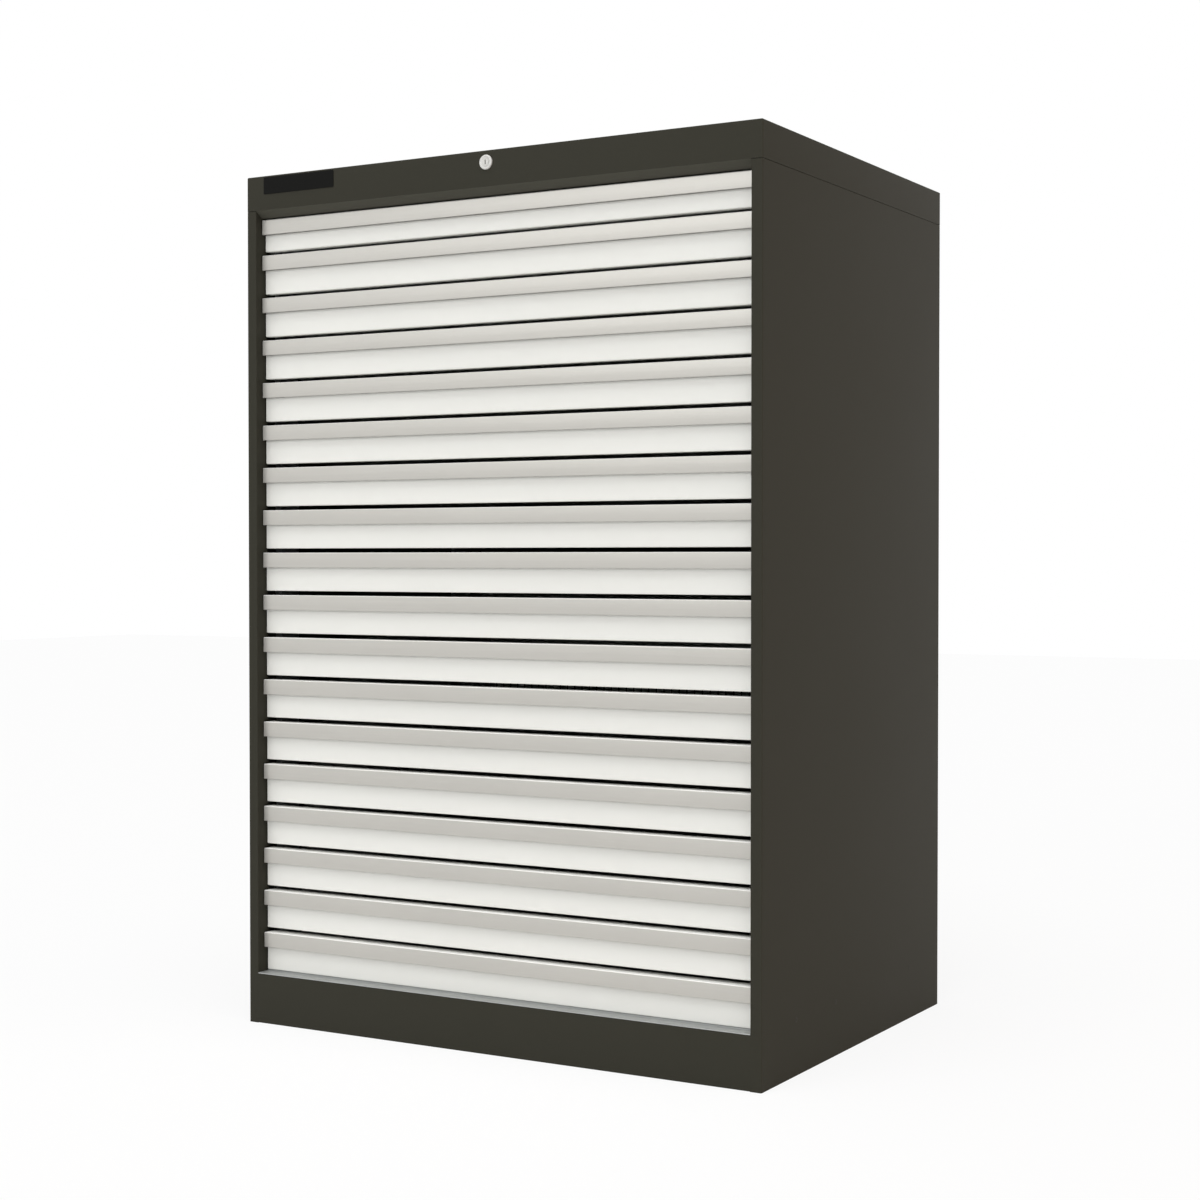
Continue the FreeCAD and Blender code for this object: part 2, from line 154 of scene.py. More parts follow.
def rounded_ring(corners, steps=5):
    """Closed outline through (u, v, radius) corners; a corner with a radius becomes an arc as
    above."""
    corners = np.asarray(corners, float)
    rings = []
    for before, here, after in zip(np.roll(corners, 1, 0), corners, np.roll(corners, -1, 0)):
        if here[2] <= 0.0:
            rings.append(here[None, :2])
            continue
        into = (here - before)[:2]
        out = (after - here)[:2]
        into /= np.linalg.norm(into)
        out /= np.linalg.norm(out)
        turn = abs(math.atan2(into[0] * out[1] - into[1] * out[0], into @ out))
        reach = here[2] * math.tan(turn / 2.0)
        line = [here[:2] - into * 2.0 * reach, here[:2], here[:2] + out * 2.0 * reach]
        rings.append(rounded_line(line, here[2], steps)[0][1:-1])
    return np.concatenate(rings)


def swap_axes(u, v, along, way):
    """Places (u, v) profile points at a distance along; way says whether that runs along x,
    depth or up."""
    along = np.broadcast_to(along, u.shape)
    if way == "x":
        spots = (along, u, v)
    elif way == "depth":
        spots = (u, along, v)
    else:
        spots = (u, v, along)
    return np.stack([spots[0] * MM, FRONT_Y + spots[1] * MM, spots[2] * MM], axis=-1)


def tube_faces(count, stations):
    """Quads between neighbouring rings of count points, for all rings at once."""
    ring = np.arange(count)
    follow = (ring + 1) % count
    base = np.arange(stations - 1)[:, None] * count
    sides = [base + ring, base + follow, base + count + follow, base + count + ring]
    return np.stack(sides, axis=-1).reshape(-1, 4)


def capped_faces(count, stations):
    """The quads of such a tube, and one face over each end."""
    last = count * (stations - 1)
    caps = [list(range(count))[::-1], list(range(last, last + count))]
    return tube_faces(count, stations).tolist() + caps


def carried(ring, stations, way):
    """The ring's points at every station, one ring after another."""
    places = [swap_axes(ring[:, 0], ring[:, 1], place, way) for place in stations]
    return np.concatenate(places)


def sheet_ring(corners, sheet, radius, steps):
    """Folded sheet's middle line, and its section: the line moved half a sheet to both sides
    along its normals, joined into one ring."""
    points, normals = rounded_line(corners, radius, steps)
    away = normals * sheet / 2.0
    return points, np.concatenate([points + away, (points - away)[::-1]])


def sheet_ends(count, stations):
    """Ladders of quads across a sheet's section, at the first and at the last station."""
    rung = np.arange(count // 2 - 1)
    ladder = np.stack([rung, rung + 1, count - 2 - rung, count - 1 - rung], axis=-1)
    return [ladder[:, ::-1], ladder + count * (stations - 1)]


def bent_sheet(corners, span, way, sheet=SHEET, radius=BEND, steps=6):
    """Folded sheet: its section carried straight along the span and closed at both ends."""
    ring = sheet_ring(corners, sheet, radius, steps)[1]
    count = len(ring)
    faces = np.concatenate([tube_faces(count, len(span))] + sheet_ends(count, len(span)))
    return carried(ring, span, way), faces.tolist()


def slotted_sheet(corners, window, stations, way, sheet=PAN_T, radius=PAN_T, steps=4):
    """Folded sheet as above with a row of slots.

    The section is carried over many stations. In every second gap between stations the quads
    of both skins whose ends lie at the window's two heights are left out, and four quads
    from skin to skin line each opening.
    """
    points, ring = sheet_ring(corners, sheet, radius, steps)
    count = len(ring)
    ends = np.sort(np.stack([points[:-1, 1], points[1:, 1]]), axis=0)
    low = np.flatnonzero(np.isclose(ends, np.reshape(window, (2, 1))).all(axis=0))
    high = low + 1
    cells = np.arange(1, len(stations) - 1, 2)
    quads = tube_faces(count, len(stations)).reshape(-1, count, 4)
    kept = np.ones(quads.shape[:2], bool)
    kept[np.ix_(cells, np.concatenate([low, count - 2 - low]))] = False
    near = (cells * count)[:, None]
    far = near + count
    low_in = count - 1 - low
    high_in = count - 1 - high
    rims = [
        (near + low, far + low, far + low_in, near + low_in),
        (near + high, near + high_in, far + high_in, far + high),
        (near + low, near + low_in, near + high_in, near + high),
        (far + low, far + high, far + high_in, far + low_in),
    ]
    lining = [np.stack(rim, axis=-1).reshape(-1, 4) for rim in rims]
    faces = np.concatenate([quads[kept]] + sheet_ends(count, len(stations)) + lining)
    return carried(ring, stations, way), faces.tolist()


def slot_stations(start, end):
    """Both ends, and between them the two edges of every divider slot, evenly pitched and
    centred, with at least 15 mm left at each end."""
    number = int((end - start - 30.0) / SLOT_PITCH)
    first = (start + end - number * SLOT_PITCH) / 2.0
    middles = first + np.arange(number + 1) * SLOT_PITCH
    edges = middles[:, None] + np.array([-0.5, 0.5]) * SLOT_WIDTH
    return np.concatenate([[start], edges.ravel(), [end]])


def solid_run(ring, span, way):
    """Closed outline carried straight along the span, with one face at each end."""
    return carried(ring, span, way), capped_faces(len(ring), len(span))


def rounded_block(x0, x1, d0, d1, z0, z1, radius):
    """Block whose four edges along the depth are arcs of the radius."""
    corners = [(x0, z0, radius), (x1, z0, radius), (x1, z1, radius), (x0, z1, radius)]
    return solid_run(rounded_ring(corners, 3), (d0, d1), "depth")


def turned(profile, middle, way, segments=40):
    """Turned piece: (along, radius) pairs swept round a line through middle, every ring at
    cos and sin of the same evenly spaced angles, with one face over each end."""
    profile = np.asarray(profile, float)
    angles = np.linspace(0.0, 2.0 * math.pi, segments, endpoint=False)
    u = middle[0] + profile[:, 1:] * np.cos(angles)
    v = middle[1] + profile[:, 1:] * np.sin(angles)
    along = np.repeat(profile[:, :1], segments, axis=1)
    return swap_axes(u, v, along, way).reshape(-1, 3), capped_faces(segments, len(profile))


def piece(name, parts, material, body, smooth_below=32.0, bevel=0.0):
    """One object made of the given shells; normals face out, folds under the angle are smooth
    and the object rides on the body."""
    verts = np.concatenate([part[0] for part in parts])
    faces = []
    shift = 0
    for points, quads in parts:
        faces.extend([[index + shift for index in face] for face in quads])
        shift += len(points)
    mesh = bpy.data.meshes.new(name)
    mesh.from_pydata(verts.tolist(), [], faces)
    work = bmesh.new()
    work.from_mesh(mesh)
    bmesh.ops.remove_doubles(work, verts=work.verts, dist=1e-7)
    bmesh.ops.recalc_face_normals(work, faces=work.faces)
    work.to_mesh(mesh)
    work.free()
    mesh.polygons.foreach_set("use_smooth", np.ones(len(mesh.polygons), bool))
    mesh.set_sharp_from_angle(angle=math.radians(smooth_below))
    mesh.materials.append(material)
    obj = bpy.data.objects.new(name, mesh)
    bpy.context.scene.collection.objects.link(obj)
    if bevel:
        edge = obj.modifiers.new("edge", "BEVEL")
        edge.width = bevel * MM
        edge.segments = 2
        edge.limit_method = "ANGLE"
        edge.angle_limit = math.radians(40.0)
        edge.harden_normals = True
    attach(obj, body)
    return obj


# Shader values


class Value:
    """A shader socket; sums written with it add Math nodes."""

    def __init__(self, finish, socket):
        self.finish = finish
        self.socket = socket

    def combine(self, operation, other, swapped=False):
        pair = (other, self) if swapped else (self, other)
        return self.finish.add("ShaderNodeMath", {"operation": operation}, dict(enumerate(pair)))

    def __add__(self, other):
        return self.combine("ADD", other)

    def __radd__(self, other):
        return self.combine("ADD", other, True)

    def __sub__(self, other):
        return self.combine("SUBTRACT", other)

    def __rsub__(self, other):
        return self.combine("SUBTRACT", other, True)

    def __mul__(self, other):
        return self.combine("MULTIPLY", other)

    def __rmul__(self, other):
        return self.combine("MULTIPLY", other, True)


class Finish:
    """The shader nodes of a material or of the world."""

    def __init__(self, owner):
        owner.use_nodes = True
        self.owner = owner
        self.tree = owner.node_tree
        self.tree.nodes.clear()

    def add(self, kind, settings=None, inputs=None, output=0):
        """Adds a node: its settings first, then what its sockets hold or read."""
        node = self.tree.nodes.new(kind)
        for key, value in (settings or {}).items():
            setattr(node, key, value)
        for key, value in (inputs or {}).items():
            if isinstance(value, Value):
                self.tree.links.new(value.socket, node.inputs[key])
            else:
                node.inputs[key].default_value = value
        return Value(self, node.outputs[output]) if len(node.outputs) else None

    def place(self):
        """Object coordinates, which are metres in the cabinet's own frame."""
        return self.add("ShaderNodeTexCoord", output="Object")

    def grain(self, stretch, scale, detail=3.0, rough=0.5):
        """Noise from 0 to 1 on object coordinates stretched by three factors."""
        spot = self.add("ShaderNodeMapping", inputs={"Vector": self.place(), "Scale": stretch})
        words = {"Vector": spot, "Scale": scale, "Detail": detail, "Roughness": rough}
        return self.add("ShaderNodeTexNoise", {"noise_dimensions": "3D"}, words, "Fac")

    def mix(self, amount, low, high):
        """Colour between two colours."""
        words = {0: amount, 6: low, 7: high}
        return self.add("ShaderNodeMix", {"data_type": "RGBA"}, words, 2)

    def bump(self, height, strength, distance):
        """Normal from a height in object units."""
        words = {"Height": height, "Strength": strength, "Distance": distance}
        return self.add("ShaderNodeBump", inputs=words)

    def done(self, **sockets):
        """Principled surface with these sockets, and the material's output."""
        words = {key.replace("_", " "): value for key, value in sockets.items()}
        shader = self.add("ShaderNodeBsdfPrincipled", inputs=words)
        self.add("ShaderNodeOutputMaterial", inputs={"Surface": shader})
        return self.owner


def srgb(red, green, blue):
    """Linear colour of an 8-bit screen colour."""
    channels = np.array([red, green, blue]) / 255.0
    linear = np.where(channels <= 0.04045, channels / 12.92, ((channels + 0.055) / 1.055) ** 2.4)
    return tuple(linear) + (1.0,)


def shade(colour, factor):
    """The colour made darker or lighter by a factor."""
    return tuple(channel * factor for channel in colour[:3]) + (1.0,)


def powder_coat(name, colour, rough=0.5, gloss=0.35):
    """Baked powder coat: fine orange peel, faint clouds of tone, gloss that wanders a little."""
    coat = Finish(bpy.data.materials.new(name))
    cloud = coat.grain(EVEN, 2.3, 4.0)
    fleck = coat.grain(EVEN, 900.0, 2.0)
    peel = coat.grain(EVEN, 420.0, 2.0)
    tone = cloud * 0.6 + fleck * 0.4
    paint = coat.mix(tone, shade(colour, 0.955), shade(colour, 1.045))
    normal = coat.bump(peel * 0.7 + fleck * 0.3, 0.25, 0.00012)
    return coat.done(
        Base_Color=paint,
        Roughness=(cloud - 0.5) * 0.08 + (fleck - 0.5) * 0.06 + rough,
        Specular_IOR_Level=gloss,
        Normal=normal,
    )


def satin_metal(name, colour, stretch, rough, metal, scale=1.0, depth=0.25):
    """Drawn or brushed metal: hair lines from noise pulled out along one direction."""
    steel = Finish(bpy.data.materials.new(name))
    lines = steel.grain(stretch, scale, 4.0, 0.6)
    broad = steel.grain(EVEN, 5.0, 2.0)
    tone = steel.mix(lines * 0.7 + broad * 0.3, shade(colour, 0.94), shade(colour, 1.06))
    normal = steel.bump(lines, depth, 0.00006)
    return steel.done(
        Base_Color=tone,
        Metallic=metal,
        Roughness=(lines - 0.5) * 0.12 + (broad - 0.5) * 0.06 + rough,
        Normal=normal,
    )


def zinc_plate(name, colour, rough=0.42):
    """Zinc sheet: small crystal patches and broad clouds of slightly different tone and gloss."""
    zinc = Finish(bpy.data.materials.new(name))
    words = {"Vector": zinc.place(), "Scale": 140.0}
    patch = zinc.add("ShaderNodeTexVoronoi", {"feature": "F1"}, words, "Color")
    grey = zinc.add("ShaderNodeSeparateColor", inputs={0: patch}, output=0)
    film = zinc.grain(EVEN, 14.0, 4.0)
    tone = zinc.mix(grey * 0.45 + film * 0.55, shade(colour, 0.9), shade(colour, 1.08))
    normal = zinc.bump(film * 0.6 + grey * 0.4, 0.12, 0.0001)
    return zinc.done(
        Base_Color=tone,
        Metallic=0.75,
        Roughness=(grey - 0.5) * 0.12 + (film - 0.5) * 0.1 + rough,
        Normal=normal,
    )


# Pieces


def drawer_base(number):
    """Lower edge of a drawer's front; drawer 1 is the top one."""
    return FIRST_Z + (DRAWERS - number) * PITCH


def both_sides(parts):
    """The shells and their mirror images across the cabinet's middle."""
    flip = np.array([-1.0, 1.0, 1.0])
    return parts + [(points * flip, faces) for points, faces in parts]


def make_housing(paint, lip_bounce_coat):
    """Side skins, cover, lip and plinth in folded sheet; a strip behind each seam between
    cover and skin keeps the light out."""
    half = SHEET / 2.0
    skin = [
        (JAMB_IN + half, JAMB_RETURN),
        (JAMB_IN + half, half),
        (HALF_W - half - SCREW_PROUD, half),
        (HALF_W - half - SCREW_PROUD, CAB_D - half - SCREW_PROUD),
        (REAR_FLANGE, CAB_D - half - SCREW_PROUD),
    ]
    foot = [(JAMB_IN, half)] + skin[2:]
    back_edge = [(JAMB_IN + half, SHEET + 0.02), (JAMB_IN + half, JAMB_RETURN)]
    low = (0.0, PLINTH_TOP - 0.01)
    strip = [(SEAM_STRIP_X, depth) for depth in SEAM_STRIP_ENDS]
    right = [
        bent_sheet(skin, (PLINTH_TOP, PANEL_TOP), "up", radius=(0.95, BEND, BEND)),
        bent_sheet(foot, low, "up"),
        bent_sheet(back_edge, low, "up"),
        bent_sheet(strip, SEAM_STRIP_HEIGHTS, "up", PAN_T),
    ]
    left = both_sides(right)[len(right):]
    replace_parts(piece("side_skin_right", right, paint, "housing"), "side_panel_right")
    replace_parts(piece("side_skin_left", left, paint, "housing"), "side_panel_left")
    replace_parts(piece("cover_shell", [cover_shell()], paint, "housing"), "top_cover")
    lip = rounded_ring(
        [
            (0.0, COVER_BOTTOM, 0.0),
            (17.0, LIP_BOTTOM, 2.5),
            (LIP_REAR, LIP_BOTTOM, 0.4),
            (LIP_REAR, LIP_BOTTOM + SHEET, 0.4),
            (17.5, LIP_BOTTOM + SHEET, 1.0),
            (3.0, 1439.6, 1.0),
            (3.0, 1465.0, 0.3),
            (1.5, 1465.0, 0.3),
            (1.5, COVER_BOTTOM, 0.0),
        ]
    )
    rail = solid_run(lip, (-JAMB_IN, JAMB_IN), "x")
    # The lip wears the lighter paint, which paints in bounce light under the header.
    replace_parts(piece("header_lip", [rail], lip_bounce_coat, "housing"), "header_rail")
    kick = [(20.0, half), (half, half), (half, PLINTH_TOP - half), (20.0, PLINTH_TOP - half)]
    plate = bent_sheet(kick, (-JAMB_IN, JAMB_IN), "x")
    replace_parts(piece("plinth_plate", [plate], paint, "housing"), "plinth_front")


def make_floor_lip(zinc):
    """Upstand of the floor sheet just behind the lowest front."""
    rise = [(26.6, PLINTH_TOP), (26.6, 91.2)]
    piece("floor_lip", [bent_sheet(rise, (-484.0, 484.0), "x", PAN_T)], zinc, "housing")


def make_screws(paint):
    """Flat painted screws, three low on each side skin."""
    profile = [
        (HALF_W - 1.4, 4.4),
        (HALF_W - 0.04, 4.4),
        (HALF_W, 4.1),
        (HALF_W, 2.1),
        (HALF_W - 0.9, 1.8),
        (HALF_W - 0.9, 0.2),
    ]
    heads = [turned(profile, spot, "x", 28) for spot in SIDE_SCREWS]
    piece("skin_screws", both_sides(heads), paint, "housing")


def make_rivets(zinc):
    """Blind rivets down both rear flanges and along the rear panel's top."""
    profile = [
        (CAB_D - 1.4, 4.0),
        (CAB_D - 0.7, 4.0),
        (CAB_D - 0.3, 3.6),
        (CAB_D - 0.05, 2.4),
        (CAB_D, 1.4),
        (CAB_D - 0.5, 1.2),
        (CAB_D - 0.5, 0.2),
    ]
    spots = [(FLANGE_RIVET_X, height) for height in FLANGE_RIVETS]
    spots += [(x, TOP_RIVET_Z) for x in TOP_RIVETS]
    heads = [turned(profile, spot, "depth", 24) for spot in spots]
    piece("rear_rivets", both_sides(heads), zinc, "housing")


def cover_shell():
    """Cover as rings of a rounded rectangle: up the skirt, over the fold, and back inside.

    Each ring is the rectangle drawn in by its inset, its corner arcs kept about the same
    centres, so their radius is the fold less the inset.
    """
    turn = np.linspace(0.0, math.pi / 2.0, 6)
    insets = np.concatenate([[SHEET, SHEET, 0.0], COVER_FOLD * (1.0 - np.cos(turn))])
    rise = CAB_H - COVER_FOLD * (1.0 - np.sin(turn))
    heights = np.concatenate([[CAB_H - SHEET, COVER_BOTTOM, COVER_BOTTOM], rise])
    angles = np.concatenate([start + turn for start in np.arange(4) * math.pi / 2.0])
    reach_x = (HALF_W - COVER_FOLD) * np.repeat([1.0, -1.0, -1.0, 1.0], len(turn))
    reach_d = (CAB_D / 2.0 - COVER_FOLD) * np.repeat([1.0, 1.0, -1.0, -1.0], len(turn))
    radius = (COVER_FOLD - insets)[:, None]
    u = reach_x + radius * np.cos(angles)
    v = CAB_D / 2.0 + reach_d + radius * np.sin(angles)
    along = np.repeat(heights[:, None], len(angles), axis=1)
    verts = swap_axes(u, v, along, "up").reshape(-1, 3)
    return verts, capped_faces(len(angles), len(heights))


def make_lock(chrome, plug_finish, nodes):
    """Round rosette with a rolled rim and its barrel, a closed loop turned without end faces,
    and the plug carried over from the solids."""
    profile = [
        (30.0, 6.6),
        (30.0, 9.0),
        (0.0, 9.0),
        (0.0, 12.3),
        (-1.4, 12.3),
        (-2.2, 12.0),
        (-2.8, 11.3),
        (-3.0, 10.4),
        (-2.9, 9.6),
        (-2.6, 9.0),
        (-2.6, 7.2),
        (-2.4, 6.6),
        (30.0, 6.6),
    ]
    verts, faces = turned(profile, (0.0, LOCK_Z), "depth", 48)
    rosette = piece("lock_rosette", [(verts, faces[:-2])], chrome, "housing")
    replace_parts(rosette, "lock_body")
    repaint(nodes["lock_plug"], plug_finish)


def make_plate(black):
    """Blank plate at the cover's upper left."""
    corners = [
        (PLATE_LEFT, PLATE_LOW, 2.0),
        (PLATE_RIGHT, PLATE_LOW, 2.0),
        (PLATE_RIGHT, PLATE_HIGH, 2.0),
        (PLATE_LEFT, PLATE_HIGH, 2.0),
    ]
    body = solid_run(rounded_ring(corners), (-1.0, 0.0), "depth")
    piece("blank_plate", [body], black, "housing", bevel=0.3)


def grip_outline(base, drop):
    """Grip moulding's section: face with a rounded top corner, and the flat plate behind it
    that lies on the front."""
    low = base + GRIP_FOOT - drop
    top = base + GRIP_TOP - drop
    back = TRAY_FRONT + 2.0
    return rounded_ring(
        [
            (GRIP_FACE, low, 0.7),
            (GRIP_FACE + 2.0, low, 0.7),
            (GRIP_FACE + 2.0, top - GRIP_T, 1.6),
            (back, top - GRIP_T, 0.4),
            (back, top, 0.4),
            (GRIP_FACE, top, 1.6),
        ]
    )


def paint_light_on_tops(mesh):
    """Gives faces that look up the mesh's second material, a near-white finish that paints the
    light falling on the grip's top and nose.
    """
    facing = np.empty(len(mesh.polygons) * 3)
    mesh.polygons.foreach_get("normal", facing)
    mesh.polygons.foreach_set("material_index", (facing[2::3] > 0.55).astype(np.int32))


def make_drawer(number, coat, inner_coat, satin, painted_top_light, zinc):
    """Front, grip, tray, runners and catch of one drawer."""
    base = drawer_base(number)
    drop = TOP_CUT if number == 1 else 0.0
    body = "drawer_body_%02d" % number
    tag = "_%02d" % number
    step = base + PAN_STEP - drop - PAN_T / 2.0
    under = base + GRIP_TOP - drop - GRIP_T
    low = base + PAN_T / 2.0
    face = PAN_FRONT + PAN_T / 2.0
    back = TRAY_FRONT - PAN_T / 2.0
    fold = [(PAN_HEM, low), (face, low), (face, step), (back, step), (back, under)]
    pan = bent_sheet(fold, (-FRONT_HALF, FRONT_HALF), "x", PAN_T, PAN_BEND)
    cheek = rounded_block(481.8, FRONT_HALF, 25.9, 39.0, base + 1.4, step - 0.8, 0.3)
    front = piece("front" + tag, [pan] + both_sides([cheek]), coat, body)
    grip = solid_run(grip_outline(base, drop), (-FRONT_HALF, FRONT_HALF), "x")
    bar = piece("grip" + tag, [grip], satin, body)
    # Up-facing faces get a second, near-white material: painted light on the grip's top and nose.
    bar.data.materials.append(painted_top_light)
    paint_light_on_tops(bar.data)
    tray = piece("tray" + tag, tray_shells(base, TRAY_RIM - drop), inner_coat, body)
    lips = [
        (RUNNER_LIP, base + RUNNER_LOW),
        (RUNNER_WEB, base + RUNNER_LOW),
        (RUNNER_WEB, base + RUNNER_HIGH),
        (RUNNER_LIP, base + RUNNER_HIGH),
    ]
    runner = bent_sheet(lips, (RUNNER_FRONT, SLIDE_REAR), "depth", RUNNER_T, 1.4)
    catch = rounded_block(*CATCH, base + CATCH_LOW, base + CATCH_HIGH, 0.6)
    slide = piece("runner" + tag, both_sides([runner]) + [catch], zinc, body)
    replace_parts(front, "drawer" + tag)
    for extra in (bar, tray, slide):
        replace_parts(extra, "drawer" + tag)


def tray_shells(base, top):
    """Tray: a trough in section carried from front to back, and two end walls folded over at
    the top, all with a row of divider slots."""
    half = PAN_T / 2.0
    gap = 0.05
    floor = base + TRAY_FLOOR + half
    rim = base + top - half
    side = TRAY_HALF - half
    low, high = base + SLOT_LOW, base + SLOT_HIGH
    trough = [
        (-side + TRAY_HEM, rim),
        (-side, rim),
        (-side, high),
        (-side, low),
        (-side, floor),
        (side, floor),
        (side, low),
        (side, high),
        (side, rim),
        (side - TRAY_HEM, rim),
    ]
    shells = [slotted_sheet(trough, (low, high), slot_stations(TRAY_FRONT, TRAY_REAR), "depth")]
    inside = side - half - gap
    under = rim - PAN_T - 2.0 * gap
    for wall, inward in ((TRAY_FRONT + half, TRAY_HEM), (TRAY_REAR - half, -TRAY_HEM)):
        fold = [
            (wall, floor + half + gap),
            (wall, low),
            (wall, high),
            (wall, under),
            (wall + inward, under),
        ]
        shells.append(slotted_sheet(fold, (low, high), slot_stations(-inside, inside), "x"))
    return shells


def make_carriage(number, zinc, steel):
    """Roller carriages of one drawer: bar, three grooved rollers and their rivet heads."""
    base = drawer_base(number)
    middle = base + ROLLER_Z
    body = "carriage_body_%02d" % number
    tag = "_%02d" % number
    end = 5.0
    corners = [
        (BAR_ENDS[0], middle - BAR_HALF, end),
        (BAR_ENDS[1], middle - BAR_HALF, end),
        (BAR_ENDS[1], middle + BAR_HALF, end),
        (BAR_ENDS[0], middle + BAR_HALF, end),
    ]
    bar = solid_run(rounded_ring(corners, 5), (BAR_IN, BAR_OUT), "x")
    profile = [
        (BAR_OUT, 5.0),
        (466.4, ROLLER_R - 1.2),
        (467.0, ROLLER_R - 0.3),
        (467.6, ROLLER_R),
        (472.6, ROLLER_R),
        (473.2, ROLLER_R - 0.9),
        (474.8, ROLLER_R - 0.9),
        (475.4, ROLLER_R),
        (482.9, ROLLER_R),
        (483.5, ROLLER_R - 0.3),
        (484.0, ROLLER_R - 1.2),
        (484.0, 8.0),
        (483.2, 7.6),
        (483.2, 4.6),
        (484.5, 4.0),
        (484.5, 1.0),
    ]
    wheels = [turned(profile, (depth, middle), "x", 36) for depth in ROLLER_DEPTHS]
    bars = piece("slide_bar" + tag, both_sides([bar]), zinc, body)
    rollers = piece("rollers" + tag, both_sides(wheels), steel, body)
    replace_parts(bars, "carriage" + tag)
    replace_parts(rollers, "carriage" + tag)


def repaint(node, material):
    """Gives a carried-over solid its material."""
    node.data.materials.clear()
    node.data.materials.append(material)


# Studio


def make_floor():
    """Pale floor that keeps the shadow."""
    ground = Finish(bpy.data.materials.new("studio_floor"))
    ray = ground.add("ShaderNodeLightPath", output="Is Camera Ray")
    paper = ground.add("ShaderNodeBsdfDiffuse", inputs={"Color": (0.88, 0.88, 0.88, 1.0)})
    glow = ground.add("ShaderNodeEmission", inputs={"Color": WHITE, "Strength": 1.0})
    both = ground.add("ShaderNodeMixShader", inputs={0: ray * 0.85, 1: paper, 2: glow})
    ground.add("ShaderNodeOutputMaterial", inputs={"Surface": both})
    mesh = bpy.data.meshes.new("studio_floor")
    reach = 14.0
    rim = [(-reach, -reach, 0.0), (reach, -reach, 0.0), (reach, reach, 0.0), (-reach, reach, 0.0)]
    mesh.from_pydata(rim, [], [(0, 1, 2, 3)])
    mesh.materials.append(ground.owner)
    floor = bpy.data.objects.new("studio_floor", mesh)
    bpy.context.scene.collection.objects.link(floor)


def make_world():
    """Surroundings that look white to the camera and in reflections, and light dimly."""
    world = bpy.data.worlds.new("studio_world")
    bpy.context.scene.world = world
    sky = Finish(world)
    shown = sky.add("ShaderNodeLightPath", output="Is Camera Ray")
    for ray in ("Is Transmission Ray", "Is Glossy Ray"):
        shown = shown.combine("MAXIMUM", sky.add("ShaderNodeLightPath", output=ray))
    dim = 0.35
    words = {"Color": WHITE, "Strength": shown * (1.0 - dim) + dim}
    back = sky.add("ShaderNodeBackground", inputs=words)
    sky.add("ShaderNodeOutputWorld", inputs={"Surface": back})


def make_lamps():
    """Two broad lamps like a sky, a soft one before the fronts and a warm one at the right."""
    front = (0.0, -0.4, 0.8)
    lamp("sky_lamp", "SUN", (0.1, -0.75, 1.8), front, 1.9, angle=math.radians(50.0))
    lamp("fill_lamp", "SUN", (0.15, -1.4, 0.95), front, 0.7, angle=math.radians(40.0))
    wide = {"shape": "RECTANGLE", "size": 2.6, "size_y": 1.8}
    lamp("key_lamp", "AREA", (-1.4, -4.2, 2.6), (0.0, -0.3, 1.0), 24.0, **wide)
    warm = {"shape": "RECTANGLE", "size": 2.0, "size_y": 1.8, "color": (1.0, 0.65, 0.40)}
    lamp("side_lamp", "AREA", (4.2, -0.2, 1.2), (0.4, 0.0, 0.7), 27.0, **warm)


def make_camera():
    """Camera at the photograph's place, a little above half the cabinet's height."""
    camera = bpy.data.cameras.new("photo_camera")
    camera.lens = 62.72
    camera.sensor_width = 36.0
    camera.clip_end = 60.0
    holder = bpy.data.objects.new("photo_camera", camera)
    holder.location = (1.896, -3.2831, 0.8251)
    holder.rotation_euler = (math.radians(90.0 - 1.122), 0.0, math.radians(30.02))
    bpy.context.scene.collection.objects.link(holder)
    bpy.context.scene.camera = holder


def lamp(name, kind, place, target, power, **settings):
    """Soft lamp at a place, turned to a point."""
    light = bpy.data.lights.new(name, kind)
    light.energy = power
    for key, value in settings.items():
        setattr(light, key, value)
    holder = bpy.data.objects.new(name, light)
    holder.location = place
    aim = np.array(target) - np.array(place)
    yaw = math.atan2(-aim[0], aim[1])
    pitch = math.atan2(aim[2], math.hypot(aim[0], aim[1]))
    holder.rotation_euler = (math.pi / 2.0 + pitch, 0.0, yaw)
    bpy.context.scene.collection.objects.link(holder)


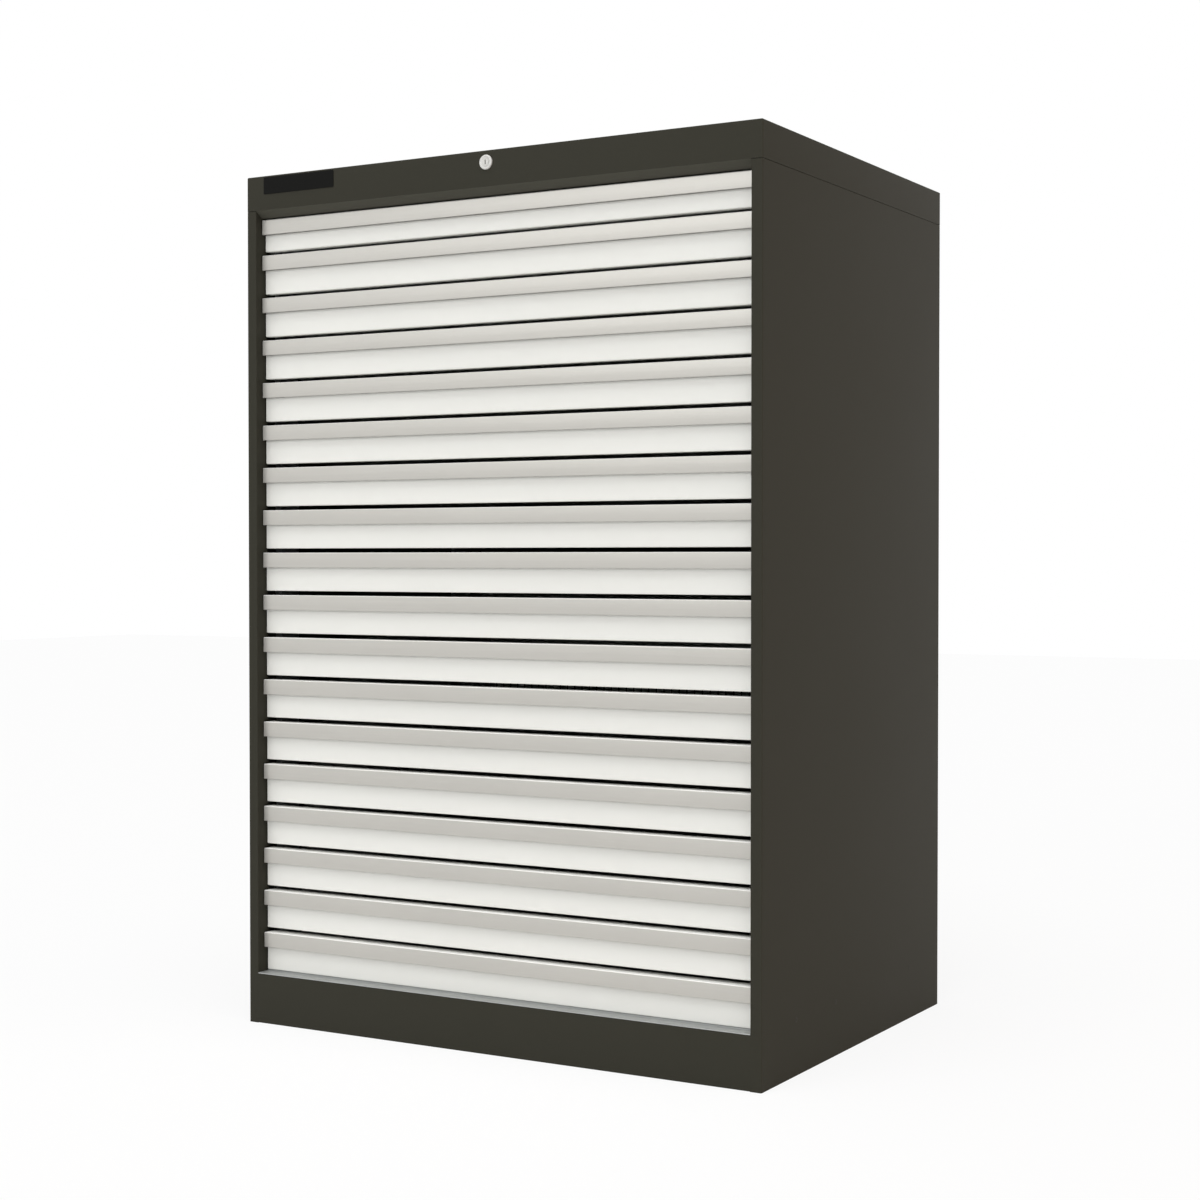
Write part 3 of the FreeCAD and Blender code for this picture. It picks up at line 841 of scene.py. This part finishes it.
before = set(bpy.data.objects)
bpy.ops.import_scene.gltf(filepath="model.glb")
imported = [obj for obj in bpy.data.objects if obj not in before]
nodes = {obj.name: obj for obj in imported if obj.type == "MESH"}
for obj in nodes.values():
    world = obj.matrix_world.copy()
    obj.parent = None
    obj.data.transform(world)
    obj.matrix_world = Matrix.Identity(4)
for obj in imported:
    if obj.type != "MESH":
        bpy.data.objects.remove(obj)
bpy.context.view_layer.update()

housing_paint = powder_coat("housing_paint", srgb(54, 53, 46), 0.5, 0.04)
# Lighter than the housing paint: painted bounce light on the down-facing header lip.
lip_painted_bounce = powder_coat("lip_painted_bounce", srgb(70, 69, 61), 0.55, 0.1)
front_paint = powder_coat("front_paint", srgb(229, 229, 224), 0.45)
tray_paint = powder_coat("tray_paint", srgb(220, 221, 216), 0.48)
grip_satin = satin_metal("grip_satin", srgb(188, 186, 180), (3.0, 700.0, 700.0), 0.36, 0.45)
# Near-white finish for the grips' up-facing faces: painted light on their tops and noses.
grip_painted_top_light = powder_coat("grip_painted_top_light", srgb(243, 243, 240), 0.4)
screw_paint = powder_coat("screw_paint", srgb(46, 44, 39), 0.5, 0.1)
zinc_sheet = zinc_plate("zinc_sheet", srgb(186, 188, 189))
floor_zinc = zinc_plate("floor_zinc", srgb(170, 172, 171), 0.5)
roller_steel = satin_metal("roller_steel", srgb(168, 168, 170), (200.0, 40.0, 40.0), 0.3, 0.9)
fine = {"scale": 6.0, "depth": 0.1}
lock_chrome = satin_metal("lock_chrome", srgb(199, 198, 195), (60.0,) * 3, 0.5, 0.2, **fine)
plug_nickel = satin_metal("plug_nickel", srgb(192, 191, 187), (90.0,) * 3, 0.45, 0.3, **fine)
plate_black = powder_coat("plate_black", srgb(20, 20, 19), 0.55, 0.05)

make_housing(housing_paint, lip_painted_bounce)
make_floor_lip(floor_zinc)
make_screws(screw_paint)
make_rivets(zinc_sheet)
make_lock(lock_chrome, plug_nickel, nodes)
make_plate(plate_black)
for count in range(1, DRAWERS + 1):
    make_drawer(count, front_paint, tray_paint, grip_satin, grip_painted_top_light, zinc_sheet)
    make_carriage(count, zinc_sheet, roller_steel)
repaint(nodes["rear_panel"], housing_paint)
repaint(nodes["floor_panel"], floor_zinc)
for name in (
    "base_beam_left", "base_beam_right", "base_rear",
    "post_front_left", "post_front_right", "post_rear_left", "post_rear_right",
    "rails_left", "rails_right", "lock_bar_guides", "lock_rod_guides", "lock_rod", "lock_bar",
):
    repaint(nodes[name], zinc_sheet)

bpy.context.scene.view_settings.view_transform = "Standard"
make_floor()
make_world()
make_lamps()
make_camera()
